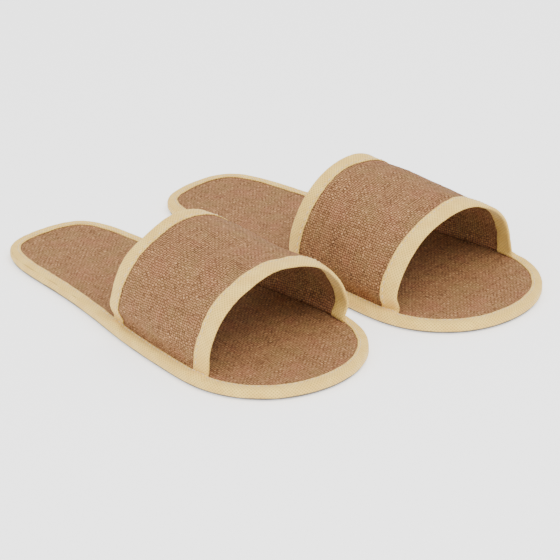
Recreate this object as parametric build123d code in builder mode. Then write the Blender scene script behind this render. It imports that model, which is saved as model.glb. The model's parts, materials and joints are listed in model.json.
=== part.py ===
"""A pair of open-toe spa slippers in hessian with taped edges, in millimetres.

Each slipper is a sewn stack: a studded non-slip outsole, a foam core and a hessian
insole cover, with cream tape wrapped round their edge. A hessian upper stands over
the instep as an arch, its lower edges sewn down under the tape, its front and rear
edges bound with more tape. The sole bends across the toes just ahead of the upper,
so every layer that crosses the bend is made as a main piece and a toe piece.

+Z is up, +Y points towards the toes and the floor is z = 0. The origin is under the
middle of the pair. A wearer's right slipper is at +X.
"""

import os
from math import atan2, cos, degrees, pi, sin, sqrt

from build123d import *

# How the pair stands
toe_out_angle = 2.75          # each slipper turns outwards by this much, degrees
heel_spacing = 119.0         # between the two heel tips, across
left_stagger = 15.0          # the left heel tip is this far ahead of the right

# Outline of the sole, symmetric left to right, seen from above
sole_length = 280.0
heel_end_width = 65.8        # across the round of the heel
heel_end_reach = 12.6        # from the heel tip
heel_width = 81.8
heel_reach = 45.0
waist_width = 91.6
waist_reach = 95.0
instep_width = 110.0         # half way from the waist to the ball
ball_width = 122.4
ball_reach = 84.0            # from the toe tip
toe_width = 117.2
toe_reach = 39.0
toe_end_width = 78.8         # across the round of the toe
toe_end_reach = 12.6

# Layers of the sole, from the floor up
stud_height = 0.5
stud_radius = 2.4
stud_pitch = 13.0
outsole_thickness = 1.0
outsole_inset = 1.2          # behind the taped edge
foam_thickness = 4.5
cover_thickness = 0.9

# Binding tape
tape_thickness = 0.6
edge_tape_width = 6.8        # flange of the sole's tape, above and below
edge_round = 1.2             # outer corners of the sole's tape
rear_hem_width = 10.0
front_hem_width = 11.0

# Upper
toe_opening = 50.5           # from the toe tip back to the upper's front edge
upper_length = 95.0          # front edge to rear edge
panel_thickness = 1.0
front_rise = 51.0            # crown above the insole cover, at each edge
rear_rise = 58.0
side_power = 2.05            # superellipse powers: 2 is a plain ellipse
crown_power = 2.25
foot_clearance = 0.3         # between the hem's foot and the sole's tape
allowance_lip = 0.5          # the seam allowance reaches this far inside the panel's foot

# Sewing
stitch_length = 2.6
stitch_width = 0.55
stitch_height = 0.3
stitch_pitch = 4.0
stitch_margin = 1.6          # from the tape's inner edge to the row of stitches
stitch_gap = 0.2             # thread lies just clear of the curved hems

# Bend across the toes
bend_lead = 4.0              # from the upper's front edge to the bend
bend_gap = 0.3               # between the main pieces and the toe pieces

# Heights
outsole_top = stud_height + outsole_thickness
lower_flange_top = outsole_top + tape_thickness
foam_top = outsole_top + foam_thickness
cover_top = foam_top + cover_thickness
sole_top = cover_top + tape_thickness

# Stations along the slipper, from the heel tip
upper_front = sole_length - toe_opening
upper_rear = upper_front - upper_length
bend_line = upper_front + bend_lead

# How far the upper's layers stand inside the outline
upper_inset = edge_tape_width + foot_clearance + tape_thickness


def guide_points():
    """Points of the named widths on the right side, from heel to toe."""
    ball_station = sole_length - ball_reach
    return [
        Vector(heel_end_width / 2, heel_end_reach),
        Vector(heel_width / 2, heel_reach),
        Vector(waist_width / 2, waist_reach),
        Vector(instep_width / 2, (waist_reach + ball_station) / 2),
        Vector(ball_width / 2, ball_station),
        Vector(toe_width / 2, sole_length - toe_reach),
        Vector(toe_end_width / 2, sole_length - toe_end_reach),
    ]


def guide_curve():
    """Smooth closed curve through the named widths, from the heel tip round by the right."""
    right_side = guide_points()
    left_side = [(-spot.X, spot.Y) for spot in reversed(right_side)]
    return Edge.make_spline([(0, 0), *right_side, (0, sole_length), *left_side], periodic=True)


def arc_pair(start, start_heading, end, end_heading):
    """Two arcs from start to end, tangent to both headings and to each other."""
    chord = end - start
    headings = start_heading + end_heading
    turn = 2 * (1 - start_heading.dot(end_heading))
    along = chord.dot(headings)
    reach = (sqrt(along**2 + turn * chord.dot(chord)) - along) / turn
    middle = (start + end + (start_heading - end_heading) * reach) * 0.5
    last_chord = (end - middle).normalized()
    middle_heading = last_chord * (2 * last_chord.dot(end_heading)) - end_heading
    return [
        Edge.make_tangent_arc(start, start_heading, middle),
        Edge.make_tangent_arc(middle, middle_heading, end),
    ]


def sole_arcs():
    """The sole's right side as tangent arcs through the named widths, heel tip to toe tip."""
    guide = guide_curve()
    sides = guide_points()
    spots = [Vector(0, 0), *sides, Vector(0, sole_length)]
    turns = [guide.tangent_at(guide.param_at_point(spot)) for spot in sides]
    headings = [Vector(1, 0), *turns, Vector(-1, 0)]
    arcs = []
    for step in range(len(spots) - 1):
        arcs += arc_pair(spots[step], headings[step], spots[step + 1], headings[step + 1])
    return arcs


def outline(amount=0.0):
    """Sketch of the sole seen from above, drawn in by an amount, heel tip at the origin."""
    with BuildSketch() as sketch:
        with BuildLine():
            add(sole_arcs())
            mirror(about=Plane.YZ)
        make_face()
        if amount:
            offset(amount=-amount)
    return sketch.sketch


full_outline = outline()
inside_tape_outline = outline(tape_thickness)
flange_outline = outline(edge_tape_width)
outsole_outline = outline(outsole_inset)


def half_width(station):
    """Half the width of the sole at a station from the heel tip."""
    across = Edge.make_line((-sole_length, station), (sole_length, station))
    return full_outline.face().intersect(across)[0].bounding_box().max.X


def arch_points(half, rise, count=24):
    """Points of an arch on a superellipse, from the right foot over to the left foot."""
    points = []
    for step in range(count + 1):
        angle = pi * step / count
        across = abs(cos(angle)) ** (2 / side_power)
        if step > count / 2:
            across = -across
        points.append((half * across, cover_top + rise * sin(angle) ** (2 / crown_power)))
    return points


def crown_rise(station):
    """Height of the arch above the cover: it falls evenly from rear edge to front edge."""
    share = (station - upper_rear) / upper_length
    return rear_rise + (front_rise - rear_rise) * share


def arch_curve(station, grow):
    """The arch at a station, moved outwards by grow, drawn in its own plane."""
    half = half_width(station) - upper_inset + grow
    points = arch_points(half, crown_rise(station) + grow)
    return Edge.make_spline(points)


rear_stitch_station = upper_rear + rear_hem_width - stitch_margin
front_stitch_station = upper_front - front_hem_width + stitch_margin
arch_stations = [
    upper_rear - tape_thickness,
    rear_stitch_station,
    (upper_rear + upper_front) / 2,
    front_stitch_station,
    upper_front + tape_thickness,
]


def arch_core(grow):
    """Solid under the arch, moved outwards by grow, standing at the cover's top."""
    with BuildPart() as core:
        for station in arch_stations:
            with BuildSketch(Plane.XZ.offset(-station)):
                arch = arch_curve(station, grow)
                with BuildLine():
                    add(arch)
                    Line(arch @ 1, arch @ 0)
                make_face()
        loft()
    return core.part


def stretch(start, end):
    """Block across the whole slipper between two stations."""
    with BuildPart() as block:
        with BuildSketch():
            with Locations((0, (start + end) / 2)):
                Rectangle(sole_length * 2, end - start)
        extrude(amount=rear_rise * 4, both=True)
    return block.part


def seam_allowance():
    """The two strips, seen from above, where the upper's edges lie flat on the foam."""
    with BuildSketch() as strips:
        with Locations((0, (upper_rear + upper_front) / 2)):
            Rectangle(sole_length, upper_length)
        add(inside_tape_outline, mode=Mode.INTERSECT)
        add(outline(upper_inset + panel_thickness + allowance_lip), mode=Mode.SUBTRACT)
    return strips.sketch


def outsole():
    """Non-slip sheet with rows of round studs underneath, set in behind the tape."""
    rows = int(sole_length / stud_pitch)
    columns = int(ball_width / stud_pitch)
    with BuildPart() as sheet:
        with BuildSketch(Plane.XY.offset(stud_height)):
            add(outsole_outline)
        extrude(amount=outsole_thickness)
        with BuildSketch():
            with Locations((0, sole_length / 2)):
                with GridLocations(stud_pitch, stud_pitch, columns, rows):
                    Circle(stud_radius)
            add(outline(outsole_inset + stud_radius), mode=Mode.INTERSECT)
        extrude(amount=stud_height)
    return sheet.part


def foam_core():
    """Foam sole, stepped in below where the tape's lower flange lies."""
    with BuildPart() as foam:
        with BuildSketch(Plane.XY.offset(outsole_top)):
            add(flange_outline)
        extrude(amount=tape_thickness)
        with BuildSketch(Plane.XY.offset(lower_flange_top)):
            add(inside_tape_outline)
        extrude(amount=foam_thickness - tape_thickness)
    return foam.part


def insole_cover():
    """Hessian sheet over the foam, cut back where the upper's edges are sewn in."""
    with BuildPart() as cover:
        with BuildSketch(Plane.XY.offset(foam_top)):
            add(inside_tape_outline)
            add(seam_allowance(), mode=Mode.SUBTRACT)
        extrude(amount=cover_thickness)
    return cover.part


def edge_tape():
    """Tape round the edge of the sole: an upper flange, a rounded wall, a lower flange."""
    with BuildPart() as tape:
        with BuildSketch(Plane.XY.offset(outsole_top)):
            add(full_outline)
        extrude(amount=sole_top - outsole_top)
        fillet(tape.edges().filter_by(Axis.Z, reverse=True), edge_round)
        with BuildSketch(Plane.XY.offset(lower_flange_top)):
            add(inside_tape_outline)
        extrude(amount=cover_top - lower_flange_top, mode=Mode.SUBTRACT)
        with BuildSketch(Plane.XY.offset(outsole_top)):
            add(flange_outline)
        extrude(amount=sole_top - outsole_top, mode=Mode.SUBTRACT)
    return tape.part


def upper_panel():
    """Arched hessian panel with a flat seam allowance along each foot."""
    with BuildPart() as panel:
        add(arch_core(0))
        add(arch_core(-panel_thickness), mode=Mode.SUBTRACT)
        add(stretch(upper_rear, upper_front), mode=Mode.INTERSECT)
        with BuildSketch(Plane.XY.offset(foam_top)):
            add(seam_allowance())
        extrude(amount=cover_thickness)
    return panel.part


def hem(panel, start, end):
    """Tape folded over an edge of the panel, from one station to another."""
    with BuildPart() as tape:
        add(arch_core(tape_thickness))
        add(arch_core(-panel_thickness - tape_thickness), mode=Mode.SUBTRACT)
        add(stretch(start, end), mode=Mode.INTERSECT)
        add(panel, mode=Mode.SUBTRACT)
    return tape.part


def sew(places):
    """A row of separate stitches along the Y axis of each place, whose Z axis points out."""
    with BuildPart() as stitches:
        with Locations(*places):
            Box(
                stitch_width, stitch_length, stitch_height,
                align=(Align.CENTER, Align.CENTER, Align.MIN),
            )
    return stitches.part


def edge_stitches(start, end):
    """Row of stitches on the sole tape's upper flange, between two stations."""
    seam = outline(edge_tape_width - stitch_margin).face().outer_wire()
    count = int(seam.length / stitch_pitch)
    places = []
    for step in range(count):
        spot = seam.position_at(step / count)
        heading = seam.tangent_at(step / count)
        if start + stitch_length < spot.Y < end - stitch_length:
            turn = degrees(atan2(heading.Y, heading.X)) - 90
            places.append(Location((spot.X, spot.Y, sole_top), (0, 0, turn)))
    return sew(places)


def hem_stitches(station):
    """Row of stitches over the arch, on the hem's outer face at a station."""
    seam = Plane.XZ.offset(-station) * arch_curve(station, tape_thickness + stitch_gap)
    count = int(seam.length / stitch_pitch)
    places = []
    for step in range(1, count):
        spot = seam.position_at(step / count)
        heading = seam.tangent_at(step / count)
        outwards = Vector(0, 1, 0).cross(heading)
        places.append(Plane(origin=spot, x_dir=(0, 1, 0), z_dir=outwards).location)
    return sew(places)


# The bend: a narrow gap keeps the toe pieces clear of the main pieces
main_zone = stretch(-sole_length, bend_line - bend_gap / 2)
toe_zone = stretch(bend_line + bend_gap / 2, sole_length * 2)

layers = {
    "outsole": outsole(),
    "foam_core": foam_core(),
    "insole_cover": insole_cover(),
    "edge_tape": edge_tape(),
}
panel = upper_panel()

pieces = {}
for name, layer in layers.items():
    pieces[name] = layer & main_zone
    pieces["toe_" + name] = layer & toe_zone
pieces["edge_stitches"] = edge_stitches(0, bend_line)
pieces["toe_edge_stitches"] = edge_stitches(bend_line, sole_length)
pieces["upper_panel"] = panel
pieces["front_hem"] = hem(panel, upper_front - front_hem_width, upper_front + tape_thickness)
pieces["rear_hem"] = hem(panel, upper_rear - tape_thickness, upper_rear + rear_hem_width)
pieces["front_hem_stitches"] = hem_stitches(front_stitch_station)
pieces["rear_hem_stitches"] = hem_stitches(rear_stitch_station)

# Where each slipper stands: its own heel tip and heading, with the pair centred on the origin
stands = {
    "right": Location((heel_spacing / 2, 0, 0), (0, 0, -toe_out_angle)),
    "left": Location((-heel_spacing / 2, left_stagger, 0), (0, 0, toe_out_angle)),
}
pair_box = Compound([stand * full_outline for stand in stands.values()]).bounding_box()
centring = Location((-pair_box.center().X, -pair_box.center().Y, 0))

os.makedirs("parts", exist_ok=True)
for side, stand in stands.items():
    for name, shape in pieces.items():
        with BuildPart() as piece:
            add(centring * stand * shape)
        piece.part.label = side + "_" + name
        export_step(piece.part, "parts/" + piece.part.label + ".step")
    bend = centring * stand * Location((0, bend_line, sole_top))
    heel = centring * stand
    print(side, "bend at", bend.position, "heel at", heel.position, "turned", heel.orientation.Z)
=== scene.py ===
"""Looks of a pair of open-toe spa slippers: hessian insole covers and uppers, cream taped
edges, sewn with cream thread, on studded non-slip outsoles. Metres throughout.

Each slipper is worked out in its own place: x across to the wearer's right, y from the heel
tip to the toe tip, z up from the floor. Slipper.to_row turns that into the shared frame.
"""

import json
import math

import bpy
import numpy as np
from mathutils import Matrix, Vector


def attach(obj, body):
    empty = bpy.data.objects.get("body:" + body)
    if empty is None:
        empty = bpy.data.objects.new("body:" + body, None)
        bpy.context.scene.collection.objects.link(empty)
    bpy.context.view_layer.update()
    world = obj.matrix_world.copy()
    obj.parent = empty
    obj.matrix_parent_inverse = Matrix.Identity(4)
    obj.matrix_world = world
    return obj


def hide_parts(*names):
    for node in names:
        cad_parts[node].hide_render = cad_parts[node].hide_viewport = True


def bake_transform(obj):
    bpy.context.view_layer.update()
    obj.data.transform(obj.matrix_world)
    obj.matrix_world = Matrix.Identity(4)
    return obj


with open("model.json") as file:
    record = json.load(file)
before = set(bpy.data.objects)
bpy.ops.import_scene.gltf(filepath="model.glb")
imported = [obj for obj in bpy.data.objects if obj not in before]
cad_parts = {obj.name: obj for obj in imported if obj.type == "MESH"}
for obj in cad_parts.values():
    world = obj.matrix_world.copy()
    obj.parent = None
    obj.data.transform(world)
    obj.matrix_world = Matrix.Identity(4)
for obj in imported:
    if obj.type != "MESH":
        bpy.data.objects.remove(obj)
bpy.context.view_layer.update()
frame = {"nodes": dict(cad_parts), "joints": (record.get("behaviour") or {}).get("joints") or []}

# Cloth and tape
TAPE = 0.0006                 # thickness of the binding tape
EDGE_FLANGE = 0.0068          # width of the sole tape's flange
REAR_HEM = 0.0100             # width of the tape seen on the upper's rear edge
FRONT_HEM = 0.0110            # and on its front edge
PANEL = 0.0010                # thickness of the hessian panel, from crest to crest
YARN = 0.00140                # distance from lengthwise yarn to yarn
YARN_ALONG = 0.00160          # distance from crosswise yarn to yarn
JUTE_DARK = (0.165, 0.076, 0.031, 1)
JUTE_MID = (0.335, 0.166, 0.071, 1)
JUTE_LIGHT = (0.520, 0.282, 0.126, 1)
JUTE_GREEN = (0.320, 0.205, 0.074, 1)
JUTE_PINK = (0.380, 0.150, 0.078, 1)
# painted shade for the gaps between grains and the yarns passing under
JUTE_GAP_SHADE = (0.045, 0.018, 0.007, 1)
TAPE_DEEP = (0.790, 0.510, 0.112, 1)
TAPE_PALE = (0.870, 0.600, 0.150, 1)
TAPE_FLUFF = (0.930, 0.740, 0.300, 1)
# painted shade in the embossed dots' pits and the fibres' hollows
TAPE_PIT_SHADE = (0.470, 0.280, 0.055, 1)
THREAD_DEEP = (0.600, 0.440, 0.250, 1)
THREAD_PALE = (0.780, 0.630, 0.400, 1)
RUBBER_DARK = (0.120, 0.105, 0.090, 1)
RUBBER_DUSTY = (0.200, 0.178, 0.155, 1)
# painted shade in the hollows of the foam's cells
FOAM_HOLLOW_SHADE = (0.62, 0.57, 0.47, 1)
FOAM_PALE = (0.74, 0.69, 0.58, 1)
DOT = 0.00220                 # distance between the tape's embossed dots
STITCH_PITCH = 0.0040
STITCH_LENGTH = 0.0026
SEAM_MARGIN = 0.0016          # from the tape's inner edge to the stitches
PLAIN_ROUND = 0.0012          # radius of the plain tape's corner, where its wall is at its widest

# Sewn tape: how far it strays from its even shape
EDGE_WANDER = 0.00030         # of the sole tape's flange
HEM_WANDER = 0.00035
SEAM_DIP = 0.00028            # where the stitches draw the tape in
PUFF = 0.00010
FOOT_RISE = 0.0007            # of the tape over the upper's tucked-in foot
HEM_END_RISE = 0.0006         # more of it over the hems' ends

# Outsole
OUTSOLE_INSET = 0.0012
STUD_PITCH = 0.013
STUD_RADIUS = 0.0024
STUD_HEIGHT = 0.0005
STUD_COLUMNS = 9              # across the ball
STUD_SIDES = 18

# Grids: points across and along, or round
OUTLINE_POINTS = 1440
INSOLE_GRID = (140, 340)
SOLE_GRID = (60, 130)
PANEL_GRID = (230, 150)
HEM_COLUMNS = 300

# Camera
CAMERA_AIM = (-0.0082, 0.0051, 0.0)
CAMERA_DISTANCE = 2.1529
CAMERA_AZIMUTH = 135.4
CAMERA_ELEVATION = 25.65
CAMERA_LENS = 220.4
SENSOR = 36.0

# Studio: lights by azimuth, elevation, distance, size and power
LIGHTS = {
    "key": (165, 62, 2.2, 1.6, 50),
    "fill": (80, 40, 2.4, 2.0, 24),
    "back": (300, 50, 2.4, 1.8, 20),
}
FLOOR_REACH = 6.0
FLOOR_DROP = 0.0003
FLOOR_GLOW = 0.9
WORLD_GLOW = 1.15


# ---------------------------------------------------------------- numbers

def smooth(x):
    """Smoothstep: 0 below 0, 1 above 1, flat at both ends."""
    x = np.clip(x, 0, 1)
    return x * x * (3 - 2 * x)


def ripple(u, v, seed, waves=24, longest=1.0, shortest=0.1):
    """Sum of seeded sine waves of random heading, wavelength and phase, about -1 to 1."""
    rng = np.random.default_rng(seed)
    total = np.zeros(np.broadcast(u, v).shape)
    for _ in range(waves):
        length = shortest * (longest / shortest) ** rng.random()
        heading = rng.random() * 2 * math.pi
        phase = rng.random() * 2 * math.pi
        along = (u * math.cos(heading) + v * math.sin(heading)) / length
        total = total + np.sin(2 * math.pi * along + phase)
    return total / math.sqrt(waves) / 1.4


def resample(path, count, closed=False):
    """Points evenly spaced along a path of points, by arc length."""
    path = np.asarray(path, float)
    if closed:
        path = np.vstack([path, path[:1]])
    steps = np.linalg.norm(np.diff(path, axis=0), axis=1)
    along = np.concatenate([[0], np.cumsum(steps)])
    places = np.linspace(0, along[-1], count, endpoint=not closed)
    return np.stack([np.interp(places, along, path[:, k]) for k in range(path.shape[1])], 1)


def path_length(path):
    """Running length along a path of points."""
    steps = np.linalg.norm(np.diff(path, axis=0), axis=1)
    return np.concatenate([[0], np.cumsum(steps)])


# ---------------------------------------------------------------- meshes

def grid_faces(rows, columns, close_rows=False, close_columns=False):
    """Quads over a grid of points numbered row by row, wrapped round where it is closed."""
    i = np.arange(rows if close_rows else rows - 1)
    j = np.arange(columns if close_columns else columns - 1)
    i, j = np.meshgrid(i, j, indexing="ij")
    i2, j2 = (i + 1) % rows, (j + 1) % columns
    quads = [i * columns + j, i2 * columns + j, i2 * columns + j2, i * columns + j2]
    return np.stack([q.ravel() for q in quads], 1)


def make_mesh(name, points, quads, material, uv=None, triangles=None, turn=0.0):
    """Mesh object from arrays of points and quads, with a UV for each corner if given. Where u
    runs round a loop of length turn, the last faces run on to turn instead of back to 0."""
    points = np.asarray(points, np.float32).reshape(-1, 3)
    quads = np.asarray(quads, np.int32).reshape(-1, 4)
    loops = quads.ravel()
    starts = np.arange(len(quads)) * 4
    if triangles is not None and len(triangles):
        triangles = np.asarray(triangles, np.int32).reshape(-1, 3)
        starts = np.concatenate([starts, len(loops) + np.arange(len(triangles)) * 3])
        loops = np.concatenate([loops, triangles.ravel()])
    mesh = bpy.data.meshes.new(name)
    mesh.vertices.add(len(points))
    mesh.vertices.foreach_set("co", points.ravel())
    mesh.loops.add(len(loops))
    mesh.loops.foreach_set("vertex_index", loops.astype(np.int32))
    mesh.polygons.add(len(starts))
    mesh.polygons.foreach_set("loop_start", starts.astype(np.int32))
    mesh.update(calc_edges=True)
    if uv is not None:
        corners = np.asarray(uv, float)[loops]
        if turn:
            u = corners[:len(quads) * 4, 0].reshape(-1, 4)
            split = u.max(1) - u.min(1) > turn / 2
            u[split] += np.where(u[split] < turn / 2, turn, 0.0)
            corners[:len(quads) * 4, 0] = u.ravel()
        layer = mesh.uv_layers.new(name="cloth")
        layer.data.foreach_set("uv", corners.astype(np.float32).ravel())
    mesh.validate()
    mesh.polygons.foreach_set("use_smooth", np.ones(len(mesh.polygons), bool))
    mesh.materials.append(material)
    obj = bpy.data.objects.new(name, mesh)
    bpy.context.scene.collection.objects.link(obj)
    return obj


def face_normal(points, face):
    """Normal of one face of a list of points, from its first three corners."""
    corners = points[face]
    return np.cross(corners[1] - corners[0], corners[2] - corners[0])


def shell_faces(rows, columns):
    """Quads of a closed sheet: a front grid, a back grid after it, and a rim joining them."""
    front = grid_faces(rows, columns)
    size = rows * columns
    back = front[:, ::-1] + size
    ring = np.concatenate([
        np.arange(columns - 1),
        np.arange(rows - 1) * columns + columns - 1,
        (rows - 1) * columns + np.arange(columns - 1, 0, -1),
        np.arange(rows - 1, 0, -1) * columns,
    ])
    following = np.roll(ring, -1)
    rim = np.stack([ring, following, following + size, ring + size], 1)
    return np.concatenate([front, back, rim])


def layer_between(x, y, upper, lower):
    """Closed layer over a grid of x and y, from a lower to an upper surface: points and quads."""
    surfaces = [np.stack([x, y, z], 2).reshape(-1, 3) for z in (upper, lower)]
    points = np.concatenate(surfaces)
    quads = shell_faces(*x.shape)
    if face_normal(points, quads[0])[2] < 0:
        quads = quads[:, ::-1]
    return points, quads


# ---------------------------------------------------------------- a slipper

class Slipper:
    """One slipper's place and sizes, read from the frame."""

    def __init__(self, side):
        self.side = side
        bend = next(j for j in frame["joints"] if j["name"] == side + "_toe_bend")
        axis = np.array(bend["axis"], float)
        self.across = axis / np.linalg.norm(axis)
        self.along = np.array([-self.across[1], self.across[0], 0.0])
        self.origin = np.array([bend["pos_m"][0], bend["pos_m"][1], 0.0])
        tape = self.local_points("edge_tape", "toe_edge_tape")
        heel_y = tape[:, 1].min()
        self.origin = self.origin + self.along * heel_y
        tape[:, 1] -= heel_y
        self.length = tape[:, 1].max()
        self.tape_bottom = tape[:, 2].min()
        self.top = tape[:, 2].max()
        self.cover_top = self.top - TAPE
        cover = self.local_points("insole_cover")
        self.foam_top = cover[:, 2].min()
        panel = self.local_points("upper_panel")
        self.upper_rear = panel[:, 1].min()
        self.upper_front = panel[:, 1].max()
        outer = tape[np.abs(tape[:, 2] - (self.top - PLAIN_ROUND)) < 1e-4]
        self.fit_outline(outer)
        raised = panel[panel[:, 2] > self.cover_top + 0.001]
        self.foot_inset = (self.half(raised[:, 1]) - np.abs(raised[:, 0])).min()
        self.outline_points, self.outline_normals = self.edge_points(OUTLINE_POINTS)
        loop = np.vstack([self.outline_points, self.outline_points[:1]])
        self.girth = path_length(loop)[-1]

    def local_points(self, *names):
        """Vertices of this slipper's plain pieces, in the slipper's own place."""
        found = []
        for name in names:
            mesh = frame["nodes"][self.side + "_" + name].data
            flat = np.empty(len(mesh.vertices) * 3, np.float32)
            mesh.vertices.foreach_get("co", flat)
            found.append(flat.reshape(-1, 3).astype(float))
        points = np.concatenate(found) - self.origin
        return np.stack([points @ self.across, points @ self.along, points[:, 2]], 1)

    def fit_outline(self, outer):
        """Half width as a sine series of t, where y = length * (1 - cos t) / 2."""
        t = np.arccos(np.clip(1 - 2 * outer[:, 1] / self.length, -1, 1))
        self.waves = np.arange(1, 13)
        table = np.sin(np.outer(t, self.waves))
        self.series = np.linalg.lstsq(table, np.abs(outer[:, 0]), rcond=None)[0]

    def half(self, y):
        """Half width of the sole at stations from the heel tip."""
        t = np.arccos(np.clip(1 - 2 * np.asarray(y, float) / self.length, -1, 1))
        return np.sin(np.multiply.outer(t, self.waves)) @ self.series

    def edge_points(self, count):
        """Evenly spaced points round the sole from the heel tip by the right, and normals."""
        t = np.linspace(0, math.pi, 4000)
        right = np.stack([
            np.sin(np.outer(t, self.waves)) @ self.series,
            self.length * (1 - np.cos(t)) / 2,
        ], 1)
        left = right[-2:0:-1] * (-1, 1)
        points = resample(np.vstack([right, left]), count, closed=True)
        heading = np.roll(points, -1, 0) - np.roll(points, 1, 0)
        heading /= np.linalg.norm(heading, axis=1, keepdims=True)
        return points, np.stack([heading[:, 1], -heading[:, 0]], 1)

    def to_row(self, points):
        """Points of the slipper's own place, in the shared frame."""
        points = np.asarray(points, float)
        return (
            self.origin + points[..., :1] * self.across
            + points[..., 1:2] * self.along + points[..., 2:] * (0, 0, 1)
        )

    def ride_main(self, piece):
        """The piece moves with the slipper's main body."""
        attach(piece, self.side + "_slipper")

    def bend_at_toes(self, piece):
        """The piece's transform is baked into its points; it is not tied to the toe body."""
        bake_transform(piece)

    def replace(self, piece, *names):
        """The piece stands for these plain pieces of the slipper."""
        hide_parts(*[self.side + "_" + name for name in names])


# ---------------------------------------------------------------- materials

class Shader:
    """A node material with short calls for its nodes."""

    def __init__(self, name):
        self.material = bpy.data.materials.new(name)
        self.material.use_nodes = True
        self.tree = self.material.node_tree
        self.surface = self.tree.nodes["Principled BSDF"]

    def node(self, kind, inputs=None, **settings):
        """A node with its settings, and its inputs linked or set."""
        made = self.tree.nodes.new(kind)
        for key, value in settings.items():
            setattr(made, key, value)
        for key, value in (inputs or {}).items():
            self.feed(made.inputs[key], value)
        return made

    def feed(self, socket, value):
        """Link a node's output to a socket, or set the socket's own value."""
        if isinstance(value, bpy.types.NodeSocket):
            self.tree.links.new(value, socket)
        else:
            socket.default_value = value

    def math(self, operation, a, b=0.0, c=0.0):
        """Output of a math node."""
        return self.node("ShaderNodeMath", {0: a, 1: b, 2: c}, operation=operation).outputs[0]

    def span(self, value, low, high, out_low=0.0, out_high=1.0):
        """Smooth step of a value from one range to another."""
        made = self.node(
            "ShaderNodeMapRange",
            {"Value": value, 1: low, 2: high, 3: out_low, 4: out_high},
            interpolation_type="SMOOTHSTEP",
        )
        return made.outputs[0]

    def blend(self, share, a, b):
        """Mix of two colours."""
        made = self.node("ShaderNodeMix", data_type="RGBA", blend_type="MIX")
        for number, value in ((0, share), (6, a), (7, b)):
            self.feed(made.inputs[number], value)
        return made.outputs[2]

    def noise(self, where, scale, detail=3.0, roughness=0.55, dimensions="3D"):
        """Noise value at a place, scale in waves per metre."""
        inputs = {"Vector": where, "Scale": scale, "Detail": detail, "Roughness": roughness}
        made = self.node("ShaderNodeTexNoise", inputs, noise_dimensions=dimensions)
        return made.outputs[0]

    def random(self, x, y=0.0, seed=0.0):
        """A random value for each whole-number cell."""
        cell = self.node("ShaderNodeCombineXYZ", {0: x, 1: y, 2: seed}).outputs[0]
        return self.node("ShaderNodeTexWhiteNoise", {0: cell}, noise_dimensions="3D").outputs[0]

    def bump(self, height, strength, distance):
        """Bump on the surface from a height in metres times distance."""
        inputs = {"Height": height, "Strength": strength, "Distance": distance}
        made = self.node("ShaderNodeBump", inputs)
        self.tree.links.new(made.outputs[0], self.surface.inputs["Normal"])


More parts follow.
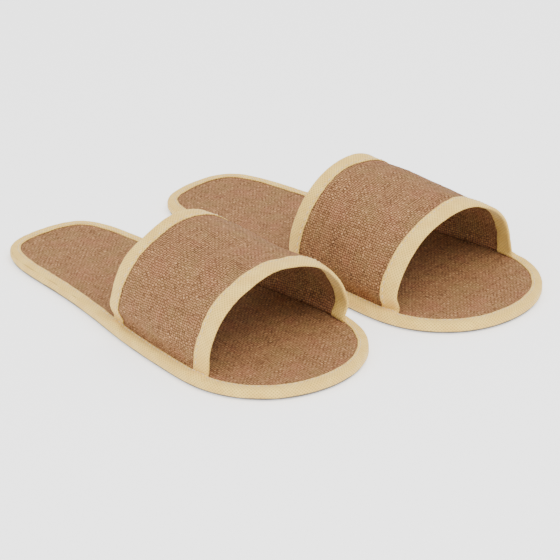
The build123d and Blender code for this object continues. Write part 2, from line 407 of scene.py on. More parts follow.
def hessian(name, seed):
    """Plain weave of two jute yarns over the cloth UV, in metres.

    Each crossing shows either the lengthwise or the crosswise yarn, in turns. A shown yarn is a
    plump grain, rounded across and bowed along, with a shade of its own that partly follows its
    yarn. The yarns wander and swell, and the cloth is patchy. The gaps between grains and the
    yarns passing under are painted dark, as painted shade of the weave's hollows.
    """
    s = Shader(name)
    uv = s.node("ShaderNodeUVMap", uv_map="cloth").outputs[0]
    wander = s.node(
        "ShaderNodeTexNoise", {"Vector": uv, "Scale": 150.0, "Detail": 2.0}, noise_dimensions="2D"
    ).outputs[1]
    split = s.node("ShaderNodeSeparateXYZ", {0: uv})
    shift = s.node("ShaderNodeSeparateXYZ", {0: wander})
    cells = []
    for axis, pitch in ((0, YARN), (1, YARN_ALONG)):
        yarns = s.math("DIVIDE", split.outputs[axis], pitch)
        cells.append(s.math("MULTIPLY_ADD", shift.outputs[axis], 1.5, yarns))
    whole = [s.math("FLOOR", c) for c in cells]
    part = [s.math("SUBTRACT", s.math("FRACT", c), 0.5) for c in cells]
    parity = s.math("FLOORED_MODULO", s.math("ADD", whole[0], whole[1]), 2.0)
    grain_tone = s.random(whole[0], whole[1], 2.0 + seed)

    def grain(side, along, number, tone_seed):
        """Height and tone of one yarn: side is across it, along is down it, from -0.5 to 0.5."""
        own = s.random(whole[number], 0.0, tone_seed)
        stretched = s.node("ShaderNodeCombineXYZ", {
            0: s.math("MULTIPLY", whole[number], 3.1),
            1: s.math("MULTIPLY", cells[1 - number], 0.16),
            2: tone_seed,
        }).outputs[0]
        slub = s.noise(stretched, 1.0, 2.0)
        width = s.math("MULTIPLY_ADD", slub, 0.20, 0.38)
        edge = s.math("DIVIDE", side, width)
        round_top = s.math("SUBTRACT", 1.0, s.math("MULTIPLY", edge, edge))
        round_top = s.math("SQRT", s.math("MAXIMUM", round_top, 0.0))
        bow = s.math("COSINE", s.math("MULTIPLY", along, 5.6))
        bow = s.math("MULTIPLY_ADD", bow, 0.24, 0.76)
        height = s.math("MULTIPLY", round_top, bow)
        tone = s.math("MULTIPLY_ADD", slub, 0.40, s.math("MULTIPLY", own, 0.14))
        return height, tone

    long_height, long_tone = grain(part[0], part[1], 0, 3.0 + seed)
    cross_height, cross_tone = grain(part[1], part[0], 1, 11.0 + seed)
    over = s.math("SUBTRACT", 1.0, parity)
    low = 0.25
    long_over = s.math("MULTIPLY_ADD", over, 1 - low, low)
    long_level = s.math("MULTIPLY", long_height, long_over)
    cross_over = s.math("MULTIPLY_ADD", parity, 0.74 - low, low)
    cross_level = s.math("MULTIPLY", cross_height, cross_over)
    height = s.math("MAXIMUM", long_level, cross_level)
    is_long = s.math("GREATER_THAN", long_level, cross_level)
    tone = s.math("ADD", s.math("MULTIPLY", is_long, long_tone),
                  s.math("MULTIPLY", s.math("SUBTRACT", 1.0, is_long), cross_tone))
    tone = s.math("MULTIPLY_ADD", grain_tone, 0.26, tone)
    tone = s.math("MULTIPLY_ADD", is_long, 0.09, tone)
    fibre_where = s.node("ShaderNodeCombineXYZ", {
        0: split.outputs[0], 1: split.outputs[1], 2: is_long,
    }).outputs[0]
    fibre = s.noise(fibre_where, 2600.0, 2.0, 0.6)
    tone = s.math("MULTIPLY_ADD", s.math("SUBTRACT", fibre, 0.5), 0.22, tone)
    shown = s.blend(s.span(tone, 0.18, 0.46), JUTE_DARK, JUTE_MID)
    shown = s.blend(s.span(tone, 0.44, 0.80), shown, JUTE_LIGHT)
    patch = s.noise(uv, 55.0, 3.0, 0.6, "2D")
    shown = s.blend(s.span(patch, 0.50, 0.72, 0.0, 0.38), shown, JUTE_GREEN)
    shown = s.blend(s.span(patch, 0.48, 0.28, 0.0, 0.38), shown, JUTE_PINK)
    # Painted shade: where the weave is low, in the gaps and on the yarns passing under, the colour
    # darkens
    shown = s.blend(s.span(height, 0.70, 0.20, 0.0, 0.90), shown, JUTE_GAP_SHADE)
    s.feed(s.surface.inputs["Base Color"], shown)
    s.surface.inputs["Roughness"].default_value = 0.86
    s.surface.inputs["Specular IOR Level"].default_value = 0.15
    relief = s.math("MULTIPLY_ADD", fibre, 0.18, height)
    s.bump(relief, 1.0, 0.00034)
    return s.material


def binding_tape(name):
    """Cream non-woven tape: staggered embossed dots with painted shade in their pits, fibres, soft
    soiling.
    """
    s = Shader(name)
    uv = s.node("ShaderNodeUVMap", uv_map="cloth").outputs[0]
    split = s.node("ShaderNodeSeparateXYZ", {0: uv})
    u = s.math("DIVIDE", split.outputs[0], DOT)
    v = s.math("DIVIDE", split.outputs[1], DOT)
    pits = []
    for operation in ("ADD", "SUBTRACT"):
        diagonal = s.math(operation, u, v)
        pits.append(s.math("SUBTRACT", s.math("FRACT", diagonal), 0.5))
    reach = s.math("SQRT", s.math("ADD", s.math("MULTIPLY", pits[0], pits[0]),
                                  s.math("MULTIPLY", pits[1], pits[1])))
    dot = s.span(reach, 0.42, 0.22)
    fibre = s.noise(uv, 2100.0, 4.0, 0.7, "2D")
    cloud = s.noise(uv, 90.0, 3.0, 0.6, "2D")
    colour = s.blend(s.span(cloud, 0.35, 0.70), TAPE_DEEP, TAPE_PALE)
    # Painted shade: the embossed dots' pits are darkened
    colour = s.blend(s.math("MULTIPLY", dot, 0.72), colour, TAPE_PIT_SHADE)
    colour = s.blend(s.span(fibre, 0.55, 0.80, 0.0, 0.30), colour, TAPE_FLUFF)
    # Painted shade: darker flecks where the fibre relief is low
    colour = s.blend(s.span(fibre, 0.42, 0.22, 0.0, 0.25), colour, TAPE_PIT_SHADE)
    s.feed(s.surface.inputs["Base Color"], colour)
    s.surface.inputs["Roughness"].default_value = 0.78
    s.surface.inputs["Specular IOR Level"].default_value = 0.25
    s.surface.inputs["Sheen Weight"].default_value = 0.15
    relief = s.math("ADD", s.math("MULTIPLY", dot, -0.75), s.math("MULTIPLY", fibre, 0.45))
    s.bump(relief, 0.7, 0.00022)
    return s.material


def thread_material(name):
    """Cream polyester thread: fine streaks of a lighter and a darker cream."""
    s = Shader(name)
    where = s.node("ShaderNodeTexCoord").outputs["Object"]
    tone = s.noise(where, 900.0, 2.0)
    colour = s.blend(s.span(tone, 0.3, 0.7), THREAD_DEEP, THREAD_PALE)
    s.feed(s.surface.inputs["Base Color"], colour)
    s.surface.inputs["Roughness"].default_value = 0.55
    s.bump(s.noise(where, 4000.0, 1.0), 0.4, 0.0001)
    return s.material


def outsole_material(name):
    """Grey-brown non-slip sheet: fine pebbling and dusty wear."""
    s = Shader(name)
    where = s.node("ShaderNodeTexCoord").outputs["Object"]
    grain = s.noise(where, 1500.0, 3.0)
    dust = s.noise(where, 60.0, 4.0, 0.65)
    colour = s.blend(s.span(dust, 0.35, 0.70), RUBBER_DARK, RUBBER_DUSTY)
    s.feed(s.surface.inputs["Base Color"], colour)
    s.feed(s.surface.inputs["Roughness"], s.span(dust, 0.3, 0.7, 0.62, 0.82))
    s.bump(grain, 0.5, 0.0001)
    return s.material


def foam_material(name):
    """Off-white closed-cell foam, with painted shade in the hollows of its cells."""
    s = Shader(name)
    where = s.node("ShaderNodeTexCoord").outputs["Object"]
    cell = s.node("ShaderNodeTexVoronoi", {"Vector": where, "Scale": 1400.0}).outputs[0]
    # Painted shade: the cells' sunk centres are darkened
    colour = s.blend(s.span(cell, 0.1, 0.7), FOAM_HOLLOW_SHADE, FOAM_PALE)
    s.feed(s.surface.inputs["Base Color"], colour)
    s.surface.inputs["Roughness"].default_value = 0.8
    s.bump(cell, 0.4, 0.0002)
    return s.material


# ---------------------------------------------------------------- pieces of the sole

def edge_section(slipper, count=34):
    """The tape's outer path across its width, as (inset, height), from the upper flange's inner
    edge over the rounded outer edge to the lower flange's inner edge."""
    top, bottom = slipper.top, slipper.tape_bottom
    upper_round, lower_round = 0.0019, 0.0014
    path = [(EDGE_FLANGE, top - 0.0002), (EDGE_FLANGE - 0.0006, top)]
    for share in np.linspace(0, 1, 9):
        out, down = 1 - math.sin(share * math.pi / 2), 1 - math.cos(share * math.pi / 2)
        path.append((upper_round * out, top - upper_round * down))
    for share in np.linspace(0, 1, 8):
        out, up = 1 - math.cos(share * math.pi / 2), 1 - math.sin(share * math.pi / 2)
        path.append((lower_round * out, bottom + lower_round * up))
    path.append((EDGE_FLANGE, bottom))
    return resample(path, count)


def foot_lift(slipper, y):
    """Rise of the tape over the upper's tucked-in feet, more where the hems' ends lie. Each
    rise comes up smoothly over a ramp at its rear end and goes down over one at its front."""
    def raised(rear, front, ramp):
        return smooth((y - rear) / ramp) * smooth((front - y) / ramp)

    rear, front = slipper.upper_rear, slipper.upper_front
    panel = raised(rear - 0.003, front + 0.003, 0.006)
    rear_end = raised(rear - 0.002, rear + REAR_HEM + 0.002, 0.004)
    front_end = raised(front - FRONT_HEM - 0.002, front + 0.002, 0.004)
    return FOOT_RISE * panel + HEM_END_RISE * np.maximum(rear_end, front_end)


def edge_tape(slipper, material):
    """Sole tape: the section swept round the outline, its inner side set in by the tape's
    thickness. The upper flange's edge wanders a little, dips along the row of stitches and
    rises over the upper's feet."""
    section = edge_section(slipper)
    rows = len(slipper.outline_points)
    around = np.arange(rows) / rows * slipper.girth
    width = path_length(section)
    inset = np.broadcast_to(section[:, 0], (rows, len(section))).copy()
    height = np.broadcast_to(section[:, 1], (rows, len(section))).copy()
    angle = around / slipper.girth * 2 * math.pi
    circle = (np.cos(angle) * slipper.girth / 6.28, np.sin(angle) * slipper.girth / 6.28)
    seed = 5 if slipper.side == "right" else 9
    upper_flange = section[:, 1] > slipper.top - 0.0025
    wander = ripple(*circle, seed, 30, 0.09, 0.006) * EDGE_WANDER
    inset += wander[:, None] * smooth((section[:, 0] - 0.003) / 0.003) * upper_flange
    seam = EDGE_FLANGE - SEAM_MARGIN
    valley = np.exp(-((section[:, 0] - seam) / 0.00075) ** 2)
    valley = valley * (section[:, 1] > slipper.top - 0.001)
    pinch = 0.55 + 0.45 * np.cos(2 * math.pi * around / (slipper.girth / stitch_count(slipper)))
    height -= SEAM_DIP * pinch[:, None] * valley
    lift = foot_lift(slipper, slipper.outline_points[:, 1])
    height += lift[:, None] * smooth((section[:, 0] - 0.0003) / 0.0030) * upper_flange
    outward = np.stack([-np.gradient(section[:, 1]), np.gradient(section[:, 0])], 1)
    outward /= np.linalg.norm(outward, axis=1, keepdims=True)
    if outward[0, 1] < 0:
        outward = -outward
    puff = ripple(around[:, None], section[None, :, 0] * 3, seed + 1, 30, 0.03, 0.004)
    soft = smooth(width / 0.002) * smooth((width[-1] - width) / 0.004)
    bulge = (puff - 1) * PUFF * soft
    inset = inset + outward[:, 0] * bulge
    height = height + outward[:, 1] * bulge
    inner_inset = inset - outward[:, 0] * 0.9 * TAPE
    inner_height = height - outward[:, 1] * 0.9 * TAPE
    loop_inset = np.concatenate([inset, inner_inset[:, ::-1]], 1)
    loop_height = np.concatenate([height, inner_height[:, ::-1]], 1)
    points = (
        slipper.outline_points[:, None, :]
        - slipper.outline_normals[:, None, :] * loop_inset[..., None]
    )
    grid = np.concatenate([points, loop_height[..., None]], 2)
    columns = grid.shape[1]
    across = np.concatenate([width, width[::-1]])
    turns = round(slipper.girth / DOT) * DOT
    running = around[:, None] / slipper.girth * turns
    uv = np.stack(np.broadcast_arrays(running, across[None, :]), 2).reshape(-1, 2)
    quads = grid_faces(rows, columns, True, True)[:, ::-1]
    piece = make_mesh(
        slipper.side + "_sole_tape", slipper.to_row(grid), quads, material, uv, turn=turns)
    slipper.bend_at_toes(piece)
    slipper.replace(piece, "edge_tape", "toe_edge_tape")
    surface = np.concatenate([points[:, :len(width)], height[..., None]], 2)
    slipper.tape_surface = surface[:, :10]
    return piece


def stitch_count(slipper):
    """Stitches round the sole."""
    return int(slipper.girth / STITCH_PITCH)


def disc_grid(slipper, across_count, along_count, inset):
    """Grid of points filling the sole's outline, drawn in by an inset, as x and y.

    A square grid is bent to a disc, and the disc is stretched to the outline: at the disc's
    height Y = -cos t, x is its X times half width / sin t, which stays smooth at the tips.
    """
    u = np.linspace(-1, 1, across_count)[None, :]
    v = np.linspace(-1, 1, along_count)[:, None]
    disc_x = u * np.sqrt(1 - v * v / 2)
    disc_y = v * np.sqrt(1 - u * u / 2)
    t = np.arccos(np.clip(disc_y, -1, 1))
    t = math.pi - t
    sine = np.maximum(np.sin(t), 1e-6)
    half = np.sin(t[..., None] * slipper.waves) @ slipper.series
    reach = half / sine
    reach = np.where(np.sin(t) < 1e-3, np.abs((slipper.waves * slipper.series * np.where(
        t[..., None] > 1, (-1.0) ** (slipper.waves + 1), 1)).sum(-1)), reach)
    x = disc_x * reach
    y = slipper.length * (1 - np.cos(t)) / 2
    middle = slipper.length / 2
    widest = 0.5 * (slipper.half(slipper.length * 0.68) + slipper.half(slipper.length * 0.3))
    return x * (1 - inset / widest), middle + (y - middle) * (1 - inset / middle)


def layer_mesh(slipper, name, material, size, inset, low, high, relief=None):
    """Closed flat layer of the sole between two heights, with relief added on the upper side."""
    x, y = disc_grid(slipper, size[0], size[1], inset)
    upper = np.full(x.shape, high)
    if relief is not None:
        upper = upper + relief(x, y)
    points, quads = layer_between(x, y, upper, np.full(x.shape, low))
    uv = points[:, 1::-1] + 0.5
    return make_mesh(slipper.side + name, slipper.to_row(points), quads, material, uv)


def insole_cover(slipper, material):
    """Hessian cover: a closed layer over the foam, its whole top barely quilted."""
    seed = 31 if slipper.side == "right" else 47

    def relief(x, y):
        return ripple(x, y, seed, 30, 0.12, 0.018) * 0.00016 - 0.00008

    piece = layer_mesh(
        slipper, "_insole", material, INSOLE_GRID, TAPE * 1.2,
        slipper.foam_top + 0.00005, slipper.cover_top - 0.00004, relief,
    )
    slipper.bend_at_toes(piece)
    slipper.replace(piece, "insole_cover", "toe_insole_cover")
    return piece


def foam_core(slipper, material):
    """Foam core, inside the tape."""
    low = slipper.local_points("foam_core")[:, 2].min()
    piece = layer_mesh(
        slipper, "_foam", material, SOLE_GRID, TAPE * 1.3, low + 0.00065, slipper.foam_top)
    slipper.bend_at_toes(piece)
    slipper.replace(piece, "foam_core", "toe_foam_core")
    return piece


def stud_spots(slipper):
    """Square grid of spots for the studs, of which those well inside the outline are kept."""
    rows, columns = int(slipper.length / STUD_PITCH), STUD_COLUMNS
    centre_x = (np.arange(columns) - (columns - 1) / 2) * STUD_PITCH
    centre_y = slipper.length / 2 + (np.arange(rows) - (rows - 1) / 2) * STUD_PITCH
    x, y = (a.ravel() for a in np.meshgrid(centre_x, centre_y))
    room = np.hypot(
        slipper.outline_points[None, :, 0] - x[:, None],
        slipper.outline_points[None, :, 1] - y[:, None],
    ).min(1)
    inside = np.abs(x) < slipper.half(np.clip(y, 0, slipper.length))
    inside = inside & (room > OUTSOLE_INSET + 2 * STUD_RADIUS)
    return np.stack([x[inside], y[inside], np.zeros(inside.sum())], 1)


def stud_shape(low):
    """One stud: a low dome's profile, as shares of the radius and heights, turned round its
    axis, with a fan of triangles over each end. Its top is sunk in the sheet."""
    profile = np.array([
        (0.02, 0.0), (0.45, 0.0), (0.80, 0.00004), (0.94, 0.00014), (1.0, 0.00032),
        (1.0, 0.00070), (0.5, 0.00080), (0.02, 0.00080),
    ])
    wall = 4                  # the profile's upright stretch
    angle = np.arange(STUD_SIDES) / STUD_SIDES * 2 * math.pi
    ring_x = profile[:, 0:1] * STUD_RADIUS * np.cos(angle)
    ring_y = profile[:, 0:1] * STUD_RADIUS * np.sin(angle)
    ring_z = np.broadcast_to(profile[:, 1:2], ring_x.shape)
    stud = np.stack([ring_x, ring_y, ring_z + low], 2).reshape(-1, 3)
    quads = grid_faces(len(profile), STUD_SIDES, False, True)
    fan = np.arange(1, STUD_SIDES - 1)
    centre = np.zeros(len(fan), int)
    caps = np.concatenate([
        np.stack([centre, fan, fan + 1], 1),
        np.stack([centre, fan + 1, fan], 1) + (len(profile) - 1) * STUD_SIDES,
    ])
    face = quads[STUD_SIDES * wall]
    if np.dot(face_normal(stud, face), stud[face][0] * (1, 1, 0)) < 0:
        return stud, quads[:, ::-1], caps[:, ::-1]
    return stud, quads, caps


def outsole(slipper, material):
    """Non-slip sheet with a grid of round studs, each a low dome with a rounded rim."""
    plain = slipper.local_points("outsole", "toe_outsole")
    low, high = plain[:, 2].min(), plain[:, 2].max()
    x, y = disc_grid(slipper, SOLE_GRID[0], SOLE_GRID[1], OUTSOLE_INSET)
    sheet, quads = layer_between(
        x, y, np.full(x.shape, high), np.full(x.shape, low + STUD_HEIGHT))
    stud, stud_quads, caps = stud_shape(low)
    spots = stud_spots(slipper)
    studs = (stud[None] + spots[:, None]).reshape(-1, 3)
    steps = (len(sheet) + np.arange(len(spots)) * len(stud))[:, None, None]
    quads = np.concatenate([quads, (stud_quads[None] + steps).reshape(-1, 4)])
    caps = (caps[None] + steps).reshape(-1, 3)
    points = slipper.to_row(np.concatenate([sheet, studs]))
    piece = make_mesh(slipper.side + "_sole", points, quads, material, triangles=caps)
    slipper.bend_at_toes(piece)
    slipper.replace(piece, "outsole", "toe_outsole")
    return piece


# ---------------------------------------------------------------- stitches

def sew(name, centres, headings, outwards, material):
    """Stitches: each an arc of thread that rises from one needle hole and dips into the next."""
    steps, sides = 9, 8
    run = np.linspace(-1, 1, steps)
    rise = 0.00016 * (1 - run ** 4) - 0.00022 * run ** 8
    thick = 0.00026 * (1 - 0.55 * run ** 6)
    angle = np.arange(sides) / sides * 2 * math.pi
    sideways = np.cross(outwards, headings)
    middle = (
        centres[:, None] + headings[:, None] * (run * STITCH_LENGTH / 2)[None, :, None]
        + outwards[:, None] * rise[None, :, None]
    )
    ring = (
        sideways[:, None, None] * np.cos(angle)[None, None, :, None]
        + outwards[:, None, None] * np.sin(angle)[None, None, :, None]
    )
    points = middle[:, :, None] + ring * thick[None, :, None, None]
    quads = grid_faces(steps, sides, False, True)
    fan = np.arange(1, sides - 1)
    caps = np.concatenate([
        np.stack([np.zeros(sides - 2, int), fan, fan + 1], 1),
        np.stack([np.zeros(sides - 2, int), fan + 1, fan], 1) + (steps - 1) * sides,
    ])
    first = points[0].reshape(-1, 3)
    if np.dot(face_normal(first, quads[0]), first[quads[0]][0] - centres[0]) < 0:
        quads = quads[:, ::-1]
        caps = caps[:, ::-1]
    shift = (np.arange(len(centres)) * steps * sides)[:, None, None]
    return make_mesh(
        name, points.reshape(-1, 3), (quads[None] + shift).reshape(-1, 4), material,
        triangles=(caps[None] + shift).reshape(-1, 3),
    )


def edge_stitches(slipper, material):
    """Row of stitches along the upper flange of the sole tape."""
    count = stitch_count(slipper)
    surface = slipper.tape_surface
    rows = len(surface)
    insets = np.linalg.norm(surface[:, :, :2] - slipper.outline_points[:, None], axis=2)
    column = int(np.argmin(np.abs(insets.mean(0) - (EDGE_FLANGE - SEAM_MARGIN))))
    seam = surface[:, column]
    places = (np.arange(count) + 0.5) * rows / count
    low = np.floor(places).astype(int) % rows
    share = (places % 1)[:, None]
    centres = seam[low] * (1 - share) + seam[(low + 1) % rows] * share
    headings = seam[(low + 3) % rows] - seam[(low - 2) % rows]
    headings /= np.linalg.norm(headings, axis=1, keepdims=True)
    up = np.array([0, 0, 1.0]) - headings * headings[:, 2:]
    up /= np.linalg.norm(up, axis=1, keepdims=True)
    name = slipper.side + "_sole_stitches"
    stitches = sew_in_row(slipper, name, centres, headings, up, material)
    slipper.bend_at_toes(stitches)
    slipper.replace(stitches, "edge_stitches", "toe_edge_stitches")
    return stitches


def sew_in_row(slipper, name, centres, headings, outwards, material):
    """Stitches at places given in the slipper's own place."""
    centres_row = slipper.to_row(centres)
    headings_row = slipper.to_row(centres + headings) - centres_row
    outwards_row = slipper.to_row(centres + outwards) - centres_row
    return sew(name, centres_row, headings_row, outwards_row, material)


# ---------------------------------------------------------------- the upper

UPPER_LOOKS = {
    # Each pair is (at the rear edge, at the front edge). rise: crown above the cover. lean:
    # how far the crown stands ahead of its feet. right and left: how far that side bulges
    # beyond its foot. side and crown: roundness, 2 is an ellipse. Metres.
    "right": {
        "rise": (0.0575, 0.0540), "lean": (0.0035, 0.0030), "right": (0.0045, 0.0015),
        "left": (0.0020, 0.0045), "side": (2.1, 2.05), "crown": (2.75, 2.2), "seed": 71,
    },
    "left": {
        "rise": (0.0595, 0.0510), "lean": (0.0030, 0.0000), "right": (0.0040, 0.0030),
        "left": (0.0015, 0.0005), "side": (2.05, 2.05), "crown": (2.3, 2.25), "seed": 83,
    },
}
TUCK = 0.0048                 # width of the strip tucked under the tape
TURN = 0.0011                 # and of the bend that leads to it
TUCK_COLUMNS = 6
TURN_COLUMNS = 7
FOOT_OUT = 0.0007             # the foot stands this far out, close to the tape's flange
ARCH_START = 0.0022           # the arch's points begin this far up it, above the bend


def arch_rows(slipper, stations, arch_columns):
    """Middle of the upper's cloth at stations along the slipper, as rows of points running from
    under the tape on the right, over the crown, to under the tape on the left.

    The arch is a superellipse, whose rise, lean and roundness change evenly along the slipper.
    Its foot turns outwards over a small bend into a flat strip under the tape.
    """
    looks = UPPER_LOOKS[slipper.side]
    y = np.asarray(stations, float)[:, None]
    share = (y - slipper.upper_rear) / (slipper.upper_front - slipper.upper_rear)

    def along(pair):
        return pair[0] + (pair[1] - pair[0]) * share

    half = slipper.half(y) - slipper.foot_inset - PANEL / 2 + FOOT_OUT
    base = slipper.cover_top
    rise = along(looks["rise"]) - PANEL / 2
    # Angles whose points are evenly spaced on a typical arch, 50 mm half wide and 55 mm high
    spread = np.linspace(0, 1, 400)
    trial = np.stack([
        np.sign(np.cos(spread * math.pi)) * np.abs(np.cos(spread * math.pi)) ** 0.98,
        np.sin(spread * math.pi) ** 0.9,
    ], 1) * (0.05, 0.055)
    running = path_length(trial)
    places = np.linspace(ARCH_START, running[-1] - ARCH_START, arch_columns)
    angle = np.interp(places, running, spread)[None, :] * math.pi
    arch_x = half * np.sign(np.cos(angle)) * np.abs(np.cos(angle)) ** (2 / along(looks["side"]))
    arch_z = base + rise * np.sin(angle) ** (2 / along(looks["crown"]))
    level = (arch_z - base) / rise
    hump = smooth((level - 0.03) / 0.22) * (1 - smooth((level - 0.30) / 0.68))
    bulge = np.where(angle < math.pi / 2, along(looks["right"]), -along(looks["left"]))
    arch_x = arch_x + bulge * hump
    lift = foot_lift(slipper, y)
    flat_z = base + 0.00002 + lift / 2
    pieces_x, pieces_z = [], []
    for sign, column in ((1, slice(None, 1)), (-1, slice(-1, None))):
        corner, edge_z = np.abs(arch_x[:, column]), arch_z[:, column]
        flat_end = corner + TURN
        strip = np.linspace(1, 0, TUCK_COLUMNS + 1)[None, :-1]
        strip_x = flat_end + (TUCK - TURN) * strip
        strip_z = np.broadcast_to(flat_z, strip_x.shape)
        t = np.linspace(0, 1, TURN_COLUMNS + 1)[None, :-1]
        turn_x = (1 - t) ** 2 * flat_end + 2 * t * (1 - t) * (corner + 0.0001) + t * t * corner
        turn_z = (1 - t) ** 2 * flat_z + 2 * t * (1 - t) * flat_z + t * t * edge_z
        x = np.concatenate([strip_x, turn_x], 1) * sign
        z = np.concatenate([strip_z, turn_z], 1)
        pieces_x.append(x if sign > 0 else x[:, ::-1])
        pieces_z.append(z if sign > 0 else z[:, ::-1])
    x = np.concatenate([pieces_x[0], arch_x, pieces_x[1]], 1)
    z = np.concatenate([pieces_z[0], arch_z, pieces_z[1]], 1)
    height = np.clip((z - base) / rise, 0, 1)
    rows = np.stack([x, y + along(looks["lean"]) * height ** 1.5, z], 2)
    return rows, height


def upper_surface(slipper, stations, arch_columns):
    """The upper's cloth at stations, eased out of its even shape along its normals: long soft
    hollows, and short folds running up from each foot. Also its normals, its running length
    across from the middle, and its height as a share of the rise."""
    looks = UPPER_LOOKS[slipper.side]
    rows, height = arch_rows(slipper, stations, arch_columns)
    step = 1e-4
    ahead, _ = arch_rows(slipper, np.asarray(stations) + step, arch_columns)
    along = (ahead - rows) / step
    across = np.gradient(rows, axis=1)
    normals = np.cross(along, across)
    normals /= np.linalg.norm(normals, axis=2, keepdims=True)
    middle = arch_columns // 2 + TUCK_COLUMNS + TURN_COLUMNS
    if normals[0, middle, 2] < 0:
        normals = -normals
    run = np.linalg.norm(np.diff(rows, axis=1), axis=2)
    run = np.concatenate([np.zeros((len(rows), 1)), np.cumsum(run, 1)], 1)
    run = run - run[:, -1:] / 2
    y = rows[..., 1]
    free = smooth(height / 0.22)
    hollow = ripple(run, y, looks["seed"], 26, 0.11, 0.030) * 0.0011 * free
    near_foot = np.exp(-((height - 0.10) / 0.12) ** 2) * smooth(height / 0.05)
    folds = ripple(y, np.sign(run) * 0.2, looks["seed"] + 3, 16, 0.030, 0.009) * 0.0006 * near_foot
    small = ripple(run, y, looks["seed"] + 5, 30, 0.016, 0.005) * 0.00010 * smooth(height / 0.06)
    return rows + normals * (hollow + folds + small)[..., None], normals, run, height


def upper_panel(slipper, material):
    """Hessian panel over the foot: one closed cloth with an outer and an inner side."""
    columns, count = PANEL_GRID
    stations = np.linspace(slipper.upper_rear + 0.0003, slipper.upper_front - 0.0003, count)
    middle, normals, run, height = upper_surface(slipper, stations, columns)
    half = PANEL / 2 * (0.66 + 0.34 * smooth(height / 0.03))
    outer = middle + normals * half[..., None]
    inner = middle - normals * half[..., None]
    size = outer.shape[:2]
    grid = np.concatenate([outer.reshape(-1, 3), inner.reshape(-1, 3)])
    quads = shell_faces(*size)
    crown = quads[(size[1] - 1) * (count // 2) + size[1] // 2]
    if face_normal(grid, crown)[2] < 0:
        quads = quads[:, ::-1]
    flat = np.stack([run, middle[..., 1]], 2).reshape(-1, 2) + 0.5
    uv = np.concatenate([flat, flat + (0.31, 0.17)])
    piece = make_mesh(slipper.side + "_upper", slipper.to_row(grid), quads, material, uv)
    slipper.ride_main(piece)
    slipper.replace(piece, "upper_panel")
    return piece


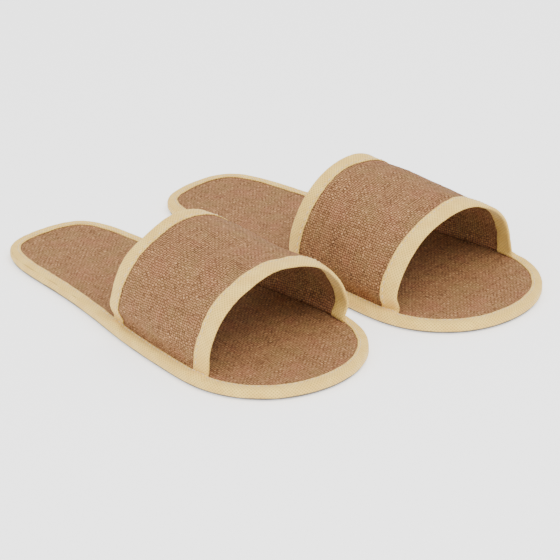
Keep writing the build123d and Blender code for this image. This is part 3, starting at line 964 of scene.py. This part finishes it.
def hem(slipper, edge, hem_width, material, thread):
    """Tape folded over one edge of the upper, and its row of stitches. edge is 1 for the front
    edge and -1 for the rear one.

    The tape's section is a hairpin of (distance from the edge, distance from the cloth's
    middle), outer path then inner path, and it is carried along the edge's arch.
    """
    seed = UPPER_LOOKS[slipper.side]["seed"] + (17 if edge > 0 else 29)
    line = slipper.upper_front if edge > 0 else slipper.upper_rear
    columns = HEM_COLUMNS
    reach = PANEL / 2 + 0.00006 + TAPE
    path = [(s, reach) for s in np.linspace(hem_width, 0.0016, 16)]
    for share in np.linspace(0, 1, 9):
        turn = share * math.pi
        path.append((0.0010 - (0.0010 + TAPE) * math.sin(turn), reach * math.cos(turn)))
    path += [(s, -reach) for s in np.linspace(0.0016, hem_width - 0.0006, 14)]
    path = np.array(path)
    tangent = np.gradient(path, axis=0)
    tangent /= np.linalg.norm(tangent, axis=1, keepdims=True)
    sideways = np.stack([tangent[:, 1], -tangent[:, 0]], 1) * TAPE * 0.85
    inner = min(path + sideways, path - sideways, key=lambda side: abs(side[5, 1]))
    loop = np.concatenate([path, inner[::-1]])
    _, _, run, height = upper_surface(slipper, [line], columns)
    run, height = run[0], height[0]
    wander = ripple(run, run * 0, seed, 24, 0.06, 0.006) * HEM_WANDER
    pucker = ripple(run[None, :], loop[:, :1] * 2, seed + 1, 24, 0.02, 0.004) * 0.00012
    seam = hem_width - SEAM_MARGIN
    count = int(run.max() * 2 / STITCH_PITCH)
    pitch = (run[-1] - run[0]) / count
    beat = 0.55 + 0.45 * np.cos(2 * math.pi * (run - run[0]) / pitch)
    grids = []
    for k, (s, n) in enumerate(loop):
        share = smooth((s - 0.002) / 0.006)
        station = line - edge * (s + wander * share)
        dip = 0.00030 * np.exp(-((s - seam) / 0.0008) ** 2) * beat * (1 if n > 0 else -1)
        rows, normals, _, _ = upper_surface(slipper, [line - edge * s], columns)
        level = n * (0.80 + 0.20 * smooth(height / 0.03)) - dip + pucker[k] * smooth(s / 0.002)
        point = rows[0] + normals[0] * level[:, None]
        point[:, 1] += station - (line - edge * s)
        grids.append(point)
    grid = np.stack(grids)
    quads = grid_faces(len(loop), grid.shape[1], True, False)
    ends = []
    half_loop = len(path)
    for j in (0, grid.shape[1] - 1):
        k = np.arange(half_loop - 1)
        mate = len(loop) - 1 - k
        cap = np.stack([k, k + 1, mate - 1, mate], 1) * grid.shape[1] + j
        ends.append(cap if j == 0 else cap[:, ::-1])
    flat_grid = grid.reshape(-1, 3)
    crown = quads[3 * (grid.shape[1] - 1) + grid.shape[1] // 2]
    if face_normal(flat_grid, crown)[2] < 0:
        quads = quads[:, ::-1]
    caps = np.concatenate(ends)
    right_end = caps[3]
    if (face_normal(flat_grid, right_end)[0] > 0) != (flat_grid[right_end[0]][0] > 0):
        caps = caps[:, ::-1]
    along_path = path_length(path)
    across = np.concatenate([along_path, along_path[::-1]])
    uv = np.stack(np.broadcast_arrays(run[None, :] + 0.5, across[:, None]), 2).reshape(-1, 2)
    end = "front" if edge > 0 else "rear"
    name = slipper.side + "_" + end
    piece = make_mesh(
        name + "_tape", slipper.to_row(grid), np.concatenate([quads, caps]), material, uv)
    slipper.ride_main(piece)
    slipper.replace(piece, end + "_hem")
    column = int(np.argmin(np.abs(path[:16, 0] - seam)))
    seam_line = grid[column]
    normals = upper_surface(slipper, [line - edge * seam], columns)[1][0]
    free = run[height > 0.05]
    places = (np.arange(count) + 0.5) * (run[-1] - run[0]) / count + run[0]
    places = places[(places > free[0]) & (places < free[-1])]

    def at(where, rows):
        return np.stack([np.interp(where, run, rows[:, k]) for k in range(3)], 1)

    centres = at(places, seam_line)
    headings = at(places + 0.001, seam_line) - at(places - 0.001, seam_line)
    headings /= np.linalg.norm(headings, axis=1, keepdims=True)
    outwards = at(places, normals)
    outwards -= headings * (outwards * headings).sum(1, keepdims=True)
    outwards /= np.linalg.norm(outwards, axis=1, keepdims=True)
    stitches = sew_in_row(slipper, name + "_stitches", centres, headings, outwards, thread)
    slipper.ride_main(stitches)
    slipper.replace(stitches, end + "_hem_stitches")
    return piece


# ---------------------------------------------------------------- build

slippers = [Slipper("right"), Slipper("left")]
tape_look = binding_tape("binding_tape_cream")
thread_look = thread_material("cream_thread")
sole_look = outsole_material("outsole_sheet")
foam_look = foam_material("foam")

for number, slipper in enumerate(slippers):
    cloth = hessian("hessian_" + slipper.side, 7.0 * number)
    outsole(slipper, sole_look)
    foam_core(slipper, foam_look)
    insole_cover(slipper, cloth)
    edge_tape(slipper, tape_look)
    edge_stitches(slipper, thread_look)
    upper_panel(slipper, cloth)
    hem(slipper, 1, FRONT_HEM, tape_look, thread_look)
    hem(slipper, -1, REAR_HEM, tape_look, thread_look)


# ---------------------------------------------------------------- studio

def plain_material(name, colour, roughness):
    """One plain colour, for the floor."""
    s = Shader(name)
    where = s.node("ShaderNodeTexCoord").outputs["Object"]
    shade = s.noise(where, 3.0, 1.0)
    lighter = tuple(c * 1.02 for c in colour) + (1,)
    s.feed(s.surface.inputs["Base Color"], s.blend(shade, colour + (1,), lighter))
    s.surface.inputs["Roughness"].default_value = roughness
    s.surface.inputs["Specular IOR Level"].default_value = 0.1
    s.surface.inputs["Emission Color"].default_value = (1, 1, 1, 1)
    s.surface.inputs["Emission Strength"].default_value = FLOOR_GLOW
    return s.material


def add_light(name, place, size, power):
    """Soft square light at a place, pointing at the pair's middle."""
    light = bpy.data.lights.new(name, "AREA")
    light.size = size
    light.energy = power
    obj = bpy.data.objects.new(name, light)
    obj.location = place
    obj.rotation_euler = (-Vector(place)).to_track_quat("-Z", "Y").to_euler()
    bpy.context.scene.collection.objects.link(obj)
    return obj


def towards(azimuth, elevation, distance):
    """A place seen from the pair's middle at an azimuth and elevation in degrees."""
    a, e = math.radians(azimuth), math.radians(elevation)
    return (
        distance * math.cos(e) * math.sin(a), -distance * math.cos(e) * math.cos(a),
        distance * math.sin(e),
    )


corners = np.array([(-1, -1, 0), (1, -1, 0), (1, 1, 0), (-1, 1, 0)]) * FLOOR_REACH
floor = make_mesh("floor", corners - (0, 0, FLOOR_DROP), [[0, 1, 2, 3]],
                  plain_material("pale_floor", (0.90, 0.90, 0.90), 0.9))
lights = [
    add_light(name, towards(azimuth, elevation, distance), size, power)
    for name, (azimuth, elevation, distance, size, power) in LIGHTS.items()
]

world = bpy.data.worlds.new("studio")
world.use_nodes = True
world.node_tree.nodes["Background"].inputs[0].default_value = (1, 1, 1, 1)
world.node_tree.nodes["Background"].inputs[1].default_value = WORLD_GLOW
bpy.context.scene.world = world

camera_data = bpy.data.cameras.new("camera")
camera_data.lens = CAMERA_LENS
camera_data.sensor_width = SENSOR
camera_data.clip_start = 0.05
camera = bpy.data.objects.new("camera", camera_data)
bpy.context.scene.collection.objects.link(camera)
aim = Vector(CAMERA_AIM)
camera.location = aim + Vector(towards(CAMERA_AZIMUTH, CAMERA_ELEVATION, CAMERA_DISTANCE))
camera.rotation_euler = (aim - camera.location).to_track_quat("-Z", "Y").to_euler()
bpy.context.scene.camera = camera
